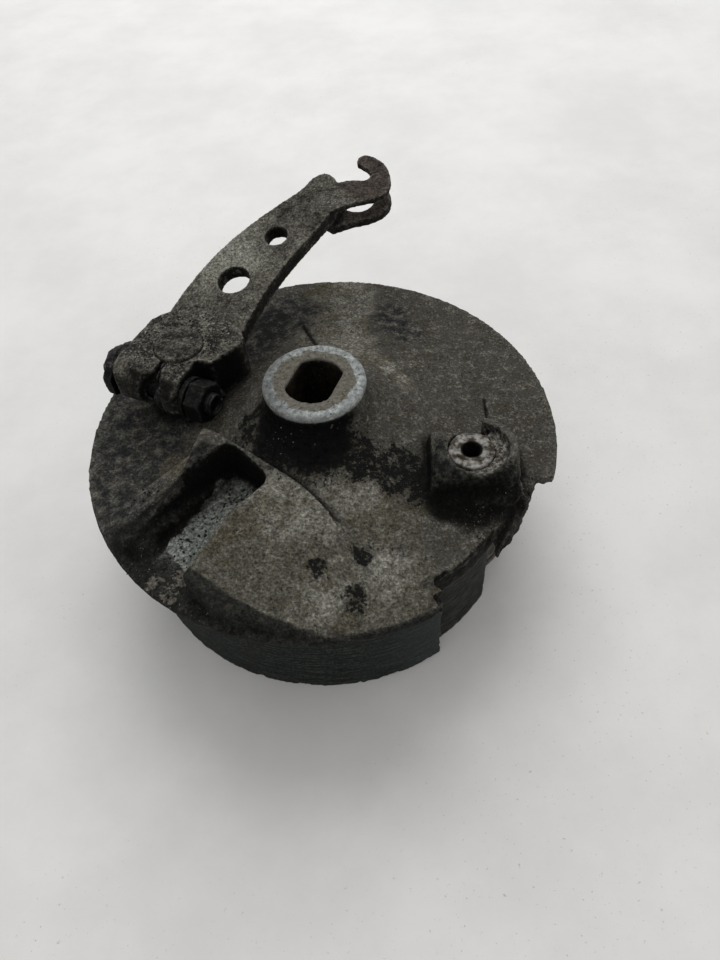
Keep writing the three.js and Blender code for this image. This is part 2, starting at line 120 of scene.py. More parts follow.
# ---- camera, light and floor ----
def make_camera():
    """The view of the photographed object: from the front and above, slightly rolled."""
    camera = new_object("camera", bpy.data.cameras.new("camera"))
    camera.data.sensor_width = 36
    camera.data.lens = 28.125
    downward = math.radians(52.5)
    roll = math.radians(-5.37)
    turn = Matrix.Rotation(math.pi / 2 - downward, 4, "X") @ Matrix.Rotation(roll, 4, "Z")
    camera.matrix_world = Matrix.Translation(AXLE + Vector((9.04, -132.9, 149.1)) * MM) @ turn
    camera.data.clip_start = 0.005
    bpy.context.scene.camera = camera


def make_light():
    world = bpy.data.worlds.new("overcast")
    bpy.context.scene.world = world
    world.use_nodes = True
    background = world.node_tree.nodes["Background"]
    background.inputs["Color"].default_value = (1, 0.99, 0.97, 1)
    background.inputs["Strength"].default_value = 0.56
    light = bpy.data.lights.new("sky", "AREA")
    light.shape = "DISK"
    light.size = 0.8
    light.energy = 4.6
    holder = new_object("sky", light)
    holder.location = place = Vector((0.02, 0.62, 0.75))
    holder.rotation_mode = "QUATERNION"
    holder.rotation_quaternion = (Vector((0, 0.12, 0)) - place).to_track_quat("-Z", "Y")
    bpy.context.scene.view_settings.view_transform = "Standard"


def make_floor():
    size = 2.5
    corners = [(-size, -size, 0), (size, -size, 0), (size, size, 0), (-size, size, 0)]
    floor = mesh_object("floor", corners, [(0, 1, 2, 3)])
    look = Look("floor_paint")
    tone = look.noise(60, 6, 0.65)
    look.colour = look.mix(look.ramp(tone, 0.3, 0.7), (0.745, 0.742, 0.735), (0.835, 0.832, 0.825))
    dusty = look.ramp(look.noise(90, 3, shift=300), 0.38, 0.62)
    specks = look.ramp(look.noise(1.1, 3, 0.7), 0.645, 0.7)
    look.paint(1, look.times(look.share(0.55, specks), dusty), (0.3, 0.28, 0.25))
    look.finish(0.55, 0.0, specular=0.3)
    floor.data.materials.append(look.material)


# ---- material graphs ----
class Look:
    """A procedural material, with short calls for the nodes it is built from.

    Its place is in millimetres from the origin. Its colour is built up in layers by paint, wear and speckle.
    """

    def __init__(self, name, origin=(0, 0, 0)):
        self.material = bpy.data.materials.new(name)
        self.material.use_nodes = True
        self.tree = self.material.node_tree
        self.tree.nodes.clear()
        self.surface = self.node("ShaderNodeBsdfPrincipled")
        output = self.node("ShaderNodeOutputMaterial")
        self.tree.links.new(self.surface.outputs[0], output.inputs["Surface"])
        here = self.node("ShaderNodeTexCoord").outputs["Object"]
        self.place = self.vector("SCALE", self.vector("SUBTRACT", here, tuple(origin)), scale=1000)

    def node(self, kind, plugs=(), **settings):
        """A new node. The plugs are pairs of a socket and what goes in it."""
        made = self.tree.nodes.new(kind)
        for key, value in settings.items():
            setattr(made, key, value)
        for socket, value in plugs:
            self.plug(value, made.inputs[socket])
        return made

    def plug(self, value, socket):
        if isinstance(value, bpy.types.NodeSocket):
            self.tree.links.new(value, socket)
        elif isinstance(value, tuple) and len(socket.default_value) == 4:
            socket.default_value = (*value, 1)
        else:
            socket.default_value = value

    def math(self, operation, first, second=0.0):
        return self.node("ShaderNodeMath", [(0, first), (1, second)], operation=operation).outputs[0]

    def vector(self, operation, first, second=(0.0, 0.0, 0.0), scale=1.0):
        made = self.node("ShaderNodeVectorMath", [(0, first), (1, second), (3, scale)], operation=operation)
        return made.outputs["Value" if operation in ("DISTANCE", "LENGTH", "DOT_PRODUCT") else "Vector"]

    def noise_node(self, size, detail, roughness, place, shift):
        moved = self.vector("ADD", place or self.place, (shift, 2 * shift, -shift))
        plugs = [("Vector", moved), ("Scale", 1 / size), ("Detail", detail), ("Roughness", roughness)]
        return self.node("ShaderNodeTexNoise", plugs)

    def noise(self, size, detail=4, roughness=0.55, shift=0.0, place=None):
        """Noise from 0 to 1 with features of about that many millimetres. The shift takes other noise."""
        return self.noise_node(size, detail, roughness, place, shift).outputs[0]

    def warped(self, size, amount, shift=0.0):
        """The place, pushed about by noise, so that masks drawn from it get ragged edges."""
        push = self.noise_node(size, 4, 0.6, self.place, shift).outputs[1]
        centred = self.vector("SUBTRACT", push, (0.5, 0.5, 0.5))
        return self.vector("ADD", self.place, self.vector("SCALE", centred, scale=2 * amount))

    def ramp(self, value, low, high):
        """0 below low and 1 above high, smoothly between. The other way round if low is the larger."""
        turned = float(low > high)
        plugs = [("Value", value), ("From Min", min(low, high)), ("From Max", max(low, high)),
                 ("To Min", turned), ("To Max", 1 - turned)]
        return self.node("ShaderNodeMapRange", plugs, interpolation_type="SMOOTHSTEP").outputs["Result"]

    def tones(self, value, *stops):
        """A colour read from (position, red, green, blue) stops."""
        made = self.node("ShaderNodeValToRGB", [(0, value)])
        elements = made.color_ramp.elements
        while len(elements) < len(stops):
            elements.new(0.5)
        for element, (position, *colour) in zip(elements, stops):
            element.position = position
            element.color = (*colour, 1)
        return made.outputs[0]

    def mix(self, factor, first, second, blend="MIX"):
        plugs = [(0, factor), (6, first), (7, second)]
        return self.node("ShaderNodeMix", plugs, data_type="RGBA", blend_type=blend).outputs[2]

    def join(self, operation, values):
        total = values[0]
        for value in values[1:]:
            total = self.math(operation, total, value)
        return total

    def most(self, *values):
        return self.join("MAXIMUM", values)

    def times(self, *values):
        return self.join("MULTIPLY", values)

    def total(self, *terms):
        """The sum of values, each plain or as (weight, value)."""
        return self.join("ADD", [self.share(*term) if isinstance(term, tuple) else term for term in terms])

    def less(self, first, second):
        return self.math("SUBTRACT", first, second)

    def outside(self, mask):
        return self.less(1.0, mask)

    def flat(self, place):
        """The place seen from above, without its height."""
        return self.vector("MULTIPLY", place, (1.0, 1.0, 0.0))

    def disc(self, place, x, y, outer, inner):
        """1 within the inner radius of a point seen from above, 0 beyond the outer one."""
        return self.ramp(self.vector("DISTANCE", place, (x, y, 0.0)), outer, inner)

    def spots(self, place, soft, *spots):
        """1 inside any of the round (x, y, radius) spots, fading over that share of the radius."""
        return self.most(*[self.disc(place, x, y, r * (1 + soft), r * (1 - soft)) for x, y, r in spots])

    def patch(self, mask, noise, amount=0.9, crisp=0.05):
        """A mask broken up into crisp, ragged patches by noise."""
        broken = self.total(mask, (2 * amount, self.less(noise, 0.5)))
        return self.ramp(broken, 0.5 - crisp, 0.5 + crisp)

    def share(self, amount, value):
        return self.math("MULTIPLY", value, amount)

    def axis(self, place, axis):
        return self.node("ShaderNodeSeparateXYZ", [(0, place)]).outputs[axis]

    def normal(self):
        return self.node("ShaderNodeNewGeometry").outputs["Normal"]

    def steep(self):
        """1 on faces that stand upright, 0 on level ones."""
        return self.ramp(self.math("ABSOLUTE", self.axis(self.normal(), 2)), 0.8, 0.35)

    def attribute(self, name):
        return self.node("ShaderNodeAttribute", attribute_name=name).outputs["Fac"]

    def paint(self, amount, mask, colour):
        """Lays a colour over the one so far, by that share of a mask."""
        if amount != 1:
            mask = self.share(amount, mask)
        self.colour = self.mix(mask, self.colour, colour)

    def wear(self, colour, rubbed, dirt):
        """Rubs the edges to a colour and darkens the creases, as dirt and painted shade, from the piece's
        own shape.
        """
        ragged = self.ramp(self.noise(1.2, 5, shift=31), 0.35, 0.65)
        self.paint(rubbed, self.times(self.attribute("wear"), ragged), colour)
        # the cavity mask darkens small creases, as dirt and painted shade
        self.paint(dirt, self.attribute("cavity"), (0.008, 0.0075, 0.007))

    def speckle(self, noise, dark, light):
        """Multiplies the colour by grain, from dark where the noise is low to light where it is high."""
        grain = self.tones(noise, (0.36, dark, dark, dark), (0.5, 1, 1, 1), (0.64, light, light, light))
        self.colour = self.mix(1.0, self.colour, grain, "MULTIPLY")

    def contrast(self, power, pivot=0.06):
        """Spreads the colour's tones away from the pivot tone."""
        made = self.node("ShaderNodeGamma", [("Color", self.colour), ("Gamma", power)])
        self.colour = self.mix(1.0, made.outputs[0], (pivot ** (1 - power),) * 3, "MULTIPLY")

    def finish(self, roughness, metallic, bumps=(), specular=0.08):
        """Plugs in the surface. Each bump is (height from 0 to 1, depth in millimetres)."""
        inputs = self.surface.inputs
        self.plug(self.colour, inputs["Base Color"])
        inputs["Specular IOR Level"].default_value = specular
        self.plug(roughness, inputs["Roughness"])
        self.plug(metallic, inputs["Metallic"])
        normal = []
        for height, depth in bumps:
            plugs = [("Distance", depth * MM), ("Height", height)] + normal
            normal = [("Normal", self.node("ShaderNodeBump", plugs).outputs[0])]
        for socket, value in normal:
            self.plug(value, inputs[socket])
        return self.material


def cast_plate_look():
    look = Look("old_cast_aluminium", AXLE)
    noise, ramp, times, total, axis = look.noise, look.ramp, look.times, look.total, look.axis
    paint, spots, tones = look.paint, look.spots, look.tones
    grain = noise(0.6, 2, 0.7)
    fine = noise(1.15, 5, 0.78, 3)
    middling = noise(3.4, 6, 0.72, 7)
    broad = noise(15, 5, 0.6, 19)
    ragged = look.flat(look.warped(5, 3.4))
    loose = look.flat(look.warped(11, 6, shift=43))
    radius = look.vector("LENGTH", look.flat(look.place))
    height = axis(look.place, 2)

    # the metal itself
    look.colour = tones(total((0.55, middling), (0.45, fine)),
        (0.3, 0.042, 0.04, 0.034), (0.45, 0.074, 0.071, 0.06), (0.56, 0.1, 0.096, 0.082),
        (0.7, 0.165, 0.162, 0.144))
    strip = spots(loose, 0.5,
        (6, 22, 7), (8, 33, 8), (10, 43, 8.5), (10.5, 54, 8), (-7, 34, 5), (2, 44, 5), (-8, -30, 8),
        (2, -29, 8), (9, -28, 6), (-13, -25, 5), (13, -46, 6), (-2, -52, 6), (15, 22, 3), (19, 16, 3),
        (23, 10, 2.5))
    bright_metal = tones(total((0.5, middling), (0.5, fine)),
        (0.32, 0.068, 0.066, 0.058), (0.45, 0.128, 0.125, 0.11), (0.58, 0.182, 0.179, 0.16),
        (0.7, 0.25, 0.245, 0.222))
    paint(0.85, strip, bright_metal)
    stain = look.patch(look.share(0.9, broad), noise(4, 6, 0.7, 71), 0.7, 0.12)
    paint(0.6, stain, (0.06, 0.052, 0.036))

    # a dark film over it, thick in some places and rubbed through in others
    bare = spots(loose, 0.35,
        (-14, -38, 15), (-3, -47, 14), (-3, -32, 13), (11, -37, 11), (13, -50, 9), (6, 24, 8), (6, 33, 10),
        (9, 42, 9.5), (8, 54, 10), (15, 23, 4), (19, 16, 4), (23, 10, 3.5), (8, -25, 7), (-30, -1, 6),
        (-22, -50, 8), (-37, -10, 5))
    thick = spots(loose, 0.4,
        (-50, 2, 15), (-54, -18, 12), (-46, 20, 13), (-20, 38, 10), (-6, 46, 9), (-28, 50, 12),
        (21, 40.5, 6), (-48, -38, 9), (27, 34, 4))
    cover = total(0.52, (0.48, thick), (-0.5, bare))
    flecked = total((0.45, fine), (0.25, grain), (0.3, middling))
    film = look.patch(cover, flecked, 1.5, 0.14)
    speckled = times(film, ramp(total((0.6, fine), (0.4, grain)), 0.5, 0.62))
    film_colour = tones(middling,
        (0.4, 0.021, 0.0215, 0.0228), (0.5, 0.043, 0.043, 0.0415), (0.6, 0.092, 0.087, 0.077))
    paint(0.93, film, film_colour)
    thin = look.outside(thick)
    paint(1, times(look.share(0.5, speckled), thin), (0.125, 0.12, 0.105))

    # soot and grease in crisp patches
    soot = spots(ragged, 0.45,
        (-8, -12, 8.5), (2, -14, 8.5), (9, -17, 6), (20, -19, 6), (26, -23, 7), (-16, -5, 6), (33, -22, 8),
        (-2.3, -45, 2.2), (8, -42, 3), (5.5, -52.5, 3), (-13, 45, 5), (-15, 38, 3.5), (17, -21, 5))
    torn = total((0.55, noise(2.6, 6, 0.75, 5)), (0.45, fine))
    black = look.patch(look.share(0.68, soot), torn, 2.6, 0.05)
    paint(0.95, black, (0.0045, 0.0048, 0.005))
    # black soot and painted shade on the boss's front side, below its ring
    foot = times(spots(ragged, 0.25, (-1.5, -11, 9.5), (-9, -9, 7)), ramp(height, 16.6, 15.6))
    paint(1, foot, (0.0035, 0.0037, 0.004))

    # painted shade: black on the walls of the slot, on the anchor boss's front and round the low side of the
    # rim
    in_boss = ramp(radius, 16, 14)
    # painted shade on every upright wall outside the axle boss
    upright = times(look.steep(), look.outside(in_boss), ramp(axis(look.place, 0), 48, 44))
    paint(0.95, upright, (0.0055, 0.0053, 0.005))
    # painted shade along the slot's bank by the rim
    bank = spots(ragged, 0.4, (-46, -32, 6), (-42, -28, 4), (-48, -38, 6))
    paint(0.9, bank, (0.008, 0.0078, 0.0075))
    # painted shade on the anchor boss's front face
    block_front_shade = spots(ragged, 0.3, (30, -28, 6), (36, -30, 7), (42, -29, 5.5), (26.5, -23, 4.5))
    paint(0.95, block_front_shade, (0.005, 0.005, 0.0048))
    x, y = axis(ragged, 0), axis(ragged, 1)
    lip = look.math("MINIMUM", 60.6, total(60.7, (0.24, x)))
    # painted shade on the rim's front wall
    front_rim_shade = times(ramp(look.less(radius, lip), -0.7, 0.3), ramp(y, -24, -42))
    rim_wall_shade = tones(middling, (0.36, 0.013, 0.013, 0.0125), (0.6, 0.032, 0.032, 0.03))
    # painted shade: the plate darker below the flange's top
    paint(0.6, ramp(height, -1.2, -2.4), (0.022, 0.021, 0.019))

    # slot floor: grey metal showing through crumbled grease
    from_wall = total((-SLOT_Y, x), (SLOT_X, y), SLOT_X * 10.7 - SLOT_Y * 22.3)
    outward = total((SLOT_X, x), (SLOT_Y, y), -28.7)
    bank_edge = look.less(from_wall, look.share(0.17, outward))
    slot = times(
        look.disc(ragged, -27, -27, 17, 14.5),
        ramp(bank_edge, 0.6, 1.3), ramp(outward, -4.4, -3.2), ramp(height, 2.6, 1.6),
        ramp(height, -1.9, -1.4))
    # painted shade: the slot's upper wall and its closed end painted black
    slot_wall_shade = times(
        look.disc(ragged, -33, -30, 20, 17),
        ramp(bank_edge, 1.5, 0.9), ramp(from_wall, -4.5, -2.5))
    slot_end_shade = times(
        ramp(outward, -2.8, -4), ramp(outward, -7, -6), ramp(height, 2.6, 1.6),
        times(ramp(from_wall, -1, 1), ramp(from_wall, 15, 13)))
    slot_wall_shade = look.most(slot_wall_shade, slot_end_shade)
    paint(0.92, slot_wall_shade, (0.008, 0.0078, 0.0074))
    floor_tone = tones(total((0.5, fine), (0.5, middling)),
        (0.36, 0.016, 0.016, 0.015), (0.41, 0.086, 0.091, 0.084), (0.52, 0.142, 0.15, 0.142),
        (0.66, 0.22, 0.23, 0.215))
    crumbs = look.patch(0.72, noise(1.8, 6, 0.75, 2), 1.3, 0.05)
    paint(1, times(slot, crumbs), floor_tone)

    # white corrosion on the boss's face, with brown grease next to the bore
    face = times(ramp(radius, 13.8, 12.9), ramp(height, 16.2, 17.0))
    chalk = tones(noise(1.5, 6, 0.75, 3),
        (0.3, 0.065, 0.068, 0.07), (0.42, 0.15, 0.16, 0.162), (0.54, 0.225, 0.238, 0.236),
        (0.7, 0.35, 0.365, 0.355))
    lit_side = total(0.66, (0.46, ramp(axis(loose, 0), -13, -2)))
    chalk = look.mix(1.0, chalk, lit_side, "MULTIPLY")
    paint(1, face, chalk)
    bore_ring = look.vector("LENGTH", look.flat(look.warped(4, 1.6, shift=9)))
    grease = look.patch(ramp(bore_ring, 12, 8.6), noise(2.2, 6, 0.7, 77), 0.8, 0.08)
    grease_tone = tones(fine,
        (0.35, 0.062, 0.05, 0.034), (0.5, 0.112, 0.104, 0.086), (0.65, 0.15, 0.15, 0.135))
    paint(1, times(look.share(0.9, grease), face), grease_tone)
    # painted shade: the inside of the bore painted near black
    bore_shade = times(ramp(radius, 8.3, 7.8), ramp(height, 17.7, 17.1))
    paint(1, bore_shade, tones(middling, (0.4, 0.006, 0.0055, 0.005), (0.6, 0.03, 0.024, 0.017)))

    # the anchor boss's chalky recess
    recess = spots(look.flat(look.warped(2, 0.9)), 0.14, (38.3, -18.9, 7.4))
    recess = times(recess, ramp(height, 4.5, 5.5))
    white = tones(noise(1.1, 6, 0.75, 13),
        (0.38, 0.014, 0.012, 0.01), (0.47, 0.064, 0.057, 0.048), (0.56, 0.175, 0.17, 0.157),
        (0.68, 0.35, 0.345, 0.33))
    paint(0.85, recess, white)

    # pits and bright specks everywhere
    pit = ramp(noise(0.75, 3, 0.75, 91), 0.39, 0.33)
    paint(0.8, pit, (0.007, 0.0068, 0.0065))
    speck = ramp(noise(0.6, 3, 0.75, 57), 0.635, 0.69)
    lit = look.outside(look.most(upright, foot, front_rim_shade))
    paint(1, times(look.share(0.35, speck), lit), (0.19, 0.185, 0.165))
    chalky = look.outside(recess)
    unworn = look.colour
    look.wear((0.145, 0.142, 0.128), 0.4, 0.6)
    paint(1, recess, unworn)
    # painted shade on the rim's front wall, laid over the wear
    paint(0.92, front_rim_shade, rim_wall_shade)
    scuff = spots(ragged, 0.4,
        (-34, -42, 3), (-30, -40, 3), (-27.4, -36.5, 2.4), (-41, -42.5, 2.2), (-37, -45.5, 2.2))
    scuff = look.patch(look.share(0.6, scuff), torn, 1.9, 0.1)
    paint(0.42, scuff, (0.18, 0.165, 0.145))
    shadowed = times(look.attribute("hollow_shade"), chalky)
    paint(0.8, shadowed, (0.006, 0.0058, 0.0055))
    paint(1, look.attribute("line"), (0.009, 0.008, 0.007))
    shine = look.less(0.85, look.share(0.3, black))
    even = look.colour
    look.speckle(total((0.55, grain), (0.45, fine)), 0.45, 1.75)
    paint(1, look.most(face, recess), even)
    look.contrast(1.25)
    return look.finish(shine, 0.05, [(fine, 0.36), (middling, 0.45), (grain, 0.12)])


def forged_grain(look):
    return look.noise(0.8, 4, 0.75), look.noise(3.0, 6, 0.72, 4)


def finish_forged(look, shine, metallic):
    look.speckle(look.noise(0.6, 2, 0.7), 0.55, 1.5)
    look.contrast(1.25)
    fine, middling = forged_grain(look)
    return look.finish(shine, metallic, [(fine, 0.25), (middling, 0.4)])


def arm_look():
    look = Look("old_forged_steel", CAM)
    noise, ramp, times, paint = look.noise, look.ramp, look.times, look.paint
    spots, tones = look.spots, look.tones
    fine, middling = forged_grain(look)
    broad = noise(11, 4, shift=12)
    plain = look.flat(look.warped(5, 2.5))
    u, v = math.cos(ARM_LINE), math.sin(ARM_LINE)
    spot_at = lambda along, across, size: (along * u + across * v, along * v - across * u, size)
    bright = spots(plain, 0.5, spot_at(34, -1, 9), spot_at(29, -4, 6))
    dark = spots(plain, 0.5,
        spot_at(40, 8, 5), spot_at(47, 6, 4), spot_at(53, 6, 6), spot_at(50, 13, 5))
    tone = look.total(
        (0.45, fine), (0.55, middling), (0.13, bright), (-0.06, dark),
        (0.25, look.less(broad, 0.5)))
    look.colour = tones(tone,
        (0.34, 0.012, 0.011, 0.01), (0.43, 0.052, 0.049, 0.042), (0.52, 0.09, 0.087, 0.075),
        (0.62, 0.142, 0.141, 0.122), (0.75, 0.21, 0.21, 0.19))
    rust = look.patch(0.2, noise(5, 6, 0.7, 55), 1.1, 0.12)
    paint(0.4, rust, (0.052, 0.04, 0.026))
    hook_end = spots(plain, 0.2, spot_at(72, 24, 10.5))
    paint(0.88, hook_end, tones(tone,
        (0.36, 0.022, 0.017, 0.015), (0.52, 0.057, 0.048, 0.043), (0.62, 0.076, 0.058, 0.05)))
    hub = ramp(look.vector("LENGTH", plain), 16.5, 13.5)
    grime = tones(tone,
        (0.36, 0.007, 0.007, 0.007), (0.46, 0.022, 0.021, 0.019), (0.54, 0.074, 0.071, 0.061),
        (0.64, 0.138, 0.134, 0.116))
    paint(0.88, hub, grime)
    crumbs = look.patch(look.share(0.5, noise(9, 3, shift=88)), noise(0.8, 4, 0.8, 33), 1.25, 0.1)
    crumbs = times(crumbs, hub)
    paint(0.6, crumbs, (0.24, 0.235, 0.215))
    # painted shade: upright faces painted near black, in patches
    side = times(look.steep(), ramp(noise(2.5, shift=8), 0.2, 0.5))
    paint(0.88, side, (0.01, 0.0095, 0.009))
    forward = look.vector("DOT_PRODUCT", look.normal(), (-u, -v, 0.0))
    rightward = look.vector("DOT_PRODUCT", look.normal(), (v, -u, 0.0))
    shaded = times(look.most(ramp(forward, 0.3, 0.6), ramp(rightward, 0.3, 0.6)), hub)
    paint(0.95, shaded, (0.004, 0.004, 0.004))
    # painted shade in the broad hollows
    paint(0.6, look.attribute("hollow_shade"), (0.006, 0.006, 0.0055))
    # painted shade: faces that point down painted dark
    under = ramp(look.axis(look.normal(), 2), -0.1, -0.5)
    paint(0.7, under, (0.016, 0.015, 0.013))
    pit = ramp(noise(0.7, 3, 0.75, 91), 0.4, 0.34)
    paint(0.8, pit, (0.006, 0.006, 0.006))
    look.wear((0.19, 0.185, 0.165), 0.5, 0.6)
    return finish_forged(look, 0.75, 0.05)


def greasy_look(name, origin, lift=1.0):
    """Steel under old black grease, with dust caught in it."""
    look = Look(name, origin)
    fine = look.noise(0.7, 4, 0.75)
    lumps = look.noise(2.1, 5, 0.65, 3)
    # painted light: faces that point up get lighter tones
    upward_light = look.ramp(look.axis(look.normal(), 2), 0.1, 0.8)
    tone = look.total((0.5, lumps), (0.4, fine), (0.12, upward_light))
    look.colour = look.tones(tone,
        (0.38, 0.003, 0.003, 0.0032), (0.52, 0.010 * lift, 0.010 * lift, 0.0105 * lift),
        (0.62, 0.036 * lift, 0.035 * lift, 0.034 * lift), (0.75, 0.085 * lift, 0.082 * lift, 0.076 * lift))
    look.wear((0.075, 0.073, 0.068), 0.4, 0.6)
    shine = look.less(0.78, look.share(0.3, lumps))
    # painted shade in the broad hollows
    look.paint(0.7, look.attribute("hollow_shade"), (0.004, 0.004, 0.004))
    look.contrast(1.3)
    return look.finish(shine, 0.0, [(fine, 0.2), (lumps, 0.4)])


def steel_look(name, origin, tint, rust_share=0.4, metallic=0.6):
    """Dull bare steel with rust bloom and handling marks."""
    look = Look(name, origin)
    fine = look.noise(0.4, 4, 0.7)
    middling = look.noise(2.4, 6, 0.65, 6)
    look.colour = look.tones(middling,
        (0.3, *[0.35 * c for c in tint]), (0.52, *tint), (0.75, *[1.5 * c for c in tint]))
    rust = look.times(look.ramp(look.noise(3.5, 6, shift=25), 0.5, 0.62), rust_share)
    look.paint(1, rust, (0.085, 0.04, 0.018))
    look.wear(tuple(2.2 * c for c in tint), 0.7, 0.7)
    rough = look.total(0.42, look.times(middling, 0.4))
    return look.finish(rough, metallic, [(fine, 0.05), (middling, 0.12)])


def lining_look():
    """Moulded friction lining: dark greenish grey with scoring round the drum's turn."""
    look = Look("scored_friction_lining", AXLE)
    fine = look.noise(0.7, 4, 0.7)
    height = look.axis(look.place, 2)
    x = look.axis(look.place, 0)
    y = look.axis(look.place, 1)
    angle = look.math("ARCTAN2", y, x)
    turn = look.node("ShaderNodeCombineXYZ", [(0, look.times(angle, 5.0)), (1, look.times(height, 1.6))])
    streaks = look.noise(0.9, 5, 0.6, place=turn.outputs[0])
    tone = look.total((0.5, streaks), (0.5, fine))
    look.colour = look.tones(tone,
        (0.36, 0.005, 0.0055, 0.005), (0.5, 0.015, 0.0175, 0.0165), (0.66, 0.046, 0.052, 0.048))
    flecks = look.ramp(look.noise(0.8, 2, shift=17), 0.7, 0.76)
    look.paint(0.5, flecks, (0.12, 0.085, 0.045))
    look.paint(0.45, look.ramp(x, 0, 30), (0.044, 0.05, 0.048))
    look.wear((0.075, 0.08, 0.072), 0.5, 0.6)
    look.contrast(1.3, 0.02)
    return look.finish(0.72, 0.0, [(fine, 0.1), (streaks, 0.16)])


def shoe_look():
    look = Look("cast_shoe_alloy", AXLE)
    fine = look.noise(0.6, 4, 0.7)
    middling = look.noise(4, 6, shift=8)
    look.colour = look.tones(middling,
        (0.3, 0.035, 0.033, 0.03), (0.5, 0.11, 0.108, 0.1), (0.72, 0.2, 0.198, 0.19))
    dust = look.ramp(look.noise(9, 5, shift=15), 0.42, 0.6)
    look.paint(0.55, dust, (0.04, 0.034, 0.028))
    outside = look.ramp(look.vector("LENGTH", look.flat(look.place)), 50.2, 51)
    scuffed = look.vector("MULTIPLY", look.place, (0.5, 0.5, 2.0))
    rubbed = look.tones(look.noise(1.6, 6, 0.7, place=scuffed),
        (0.38, 0.006, 0.006, 0.0055), (0.52, 0.02, 0.021, 0.019), (0.66, 0.06, 0.06, 0.053))
    look.paint(0.95, outside, rubbed)
    look.wear((0.28, 0.278, 0.27), 0.6, 0.7)
    return look.finish(0.7, 0.35, [(fine, 0.08), (middling, 0.2)])


def soft_look(name, origin, tint, grain):
    """Rubber or felt: matt, dusty, with a fine grain."""
    look = Look(name, origin)
    fine = look.noise(grain, 3, 0.7)
    dust = look.ramp(look.noise(3, 5, shift=4), 0.4, 0.65)
    look.colour = look.mix(look.times(dust, 0.5), tint, tuple(2.4 * c for c in tint))
    look.wear(tuple(3 * c for c in tint), 0.4, 0.5)
    return look.finish(0.85, 0.0, [(fine, 0.15)])


# ---- mesh tools ----
LATTICE = 32
lattice = rng.random((LATTICE, LATTICE, LATTICE))


def value_noise(points, size):
    """Smooth noise from -1 to 1 at many points, with features of that size."""
    scaled = points / size
    cell = np.floor(scaled).astype(int)
    share = scaled - cell
    share = share * share * (3 - 2 * share)
    total = np.zeros(len(points))
    for corner in itertools.product((0, 1), repeat=3):
        weight = np.prod(np.where(corner, share, 1 - share), axis=1)
        index = (cell + corner) % LATTICE
        total += weight * lattice[index[:, 0], index[:, 1], index[:, 2]]
    return 2 * total - 1


def rough_noise(points, size, octaves=3):
    total = np.zeros(len(points))
    for octave in range(octaves):
        total += value_noise(points + 0.37 * octave, size / 2**octave) / 2**octave
    return total


def cad_copy(node, name):
    """A closed copy of a CAD node's mesh, as a new object."""
    work = bmesh.new()
    work.from_mesh(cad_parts[node].data)
    bmesh.ops.remove_doubles(work, verts=work.verts, dist=0.002 * MM)
    return bmesh_object(name, work)


def apply_modifiers(piece):
    graph = bpy.context.evaluated_depsgraph_get()
    mesh = bpy.data.meshes.new_from_object(piece.evaluated_get(graph))
    piece.modifiers.clear()
    old = piece.data
    piece.data = mesh
    mesh.name = piece.name
    bpy.data.meshes.remove(old)


def shade_smooth(piece):
    piece.data.polygons.foreach_set("use_smooth", np.ones(len(piece.data.polygons), bool))


def carve(piece, cutter):
    """Cuts the cutter's shape out of the piece, and removes the cutter."""
    boolean = piece.modifiers.new("carve", "BOOLEAN")
    boolean.operation = "DIFFERENCE"
    boolean.solver = "EXACT"
    boolean.object = cutter
    apply_modifiers(piece)
    bpy.data.objects.remove(cutter)


def add_lumps(piece, lumps, basis):
    """Adds ellipsoids, given as (centre in metres, three radii in mm), for a later refine to melt in."""
    work = bmesh.new()
    work.from_mesh(piece.data)
    for centre, radii in lumps:
        shape = Matrix.Translation(centre) @ basis @ Matrix.Diagonal((*[r * MM for r in radii], 1))
        bmesh.ops.create_icosphere(work, subdivisions=3, radius=1, matrix=shape)
    work.to_mesh(piece.data)
    work.free()


def refine(piece, voxel, rounds):
    """Rebuilds the piece as an even fine mesh with slightly rounded edges."""
    remesh = piece.modifiers.new("even", "REMESH")
    remesh.mode = "VOXEL"
    remesh.voxel_size = voxel * MM
    smooth = piece.modifiers.new("round", "SMOOTH")
    smooth.factor = 0.5
    smooth.iterations = rounds
    apply_modifiers(piece)
    shade_smooth(piece)


def read_array(items, name, width, kind=float):
    values = np.empty(width * len(items), kind)
    items.foreach_get(name, values)
    return values.reshape(-1, width)


def finer_copy(node, name, voxel, rounds):
    piece = cad_copy(node, name)
    refine(piece, voxel, rounds)
    return piece


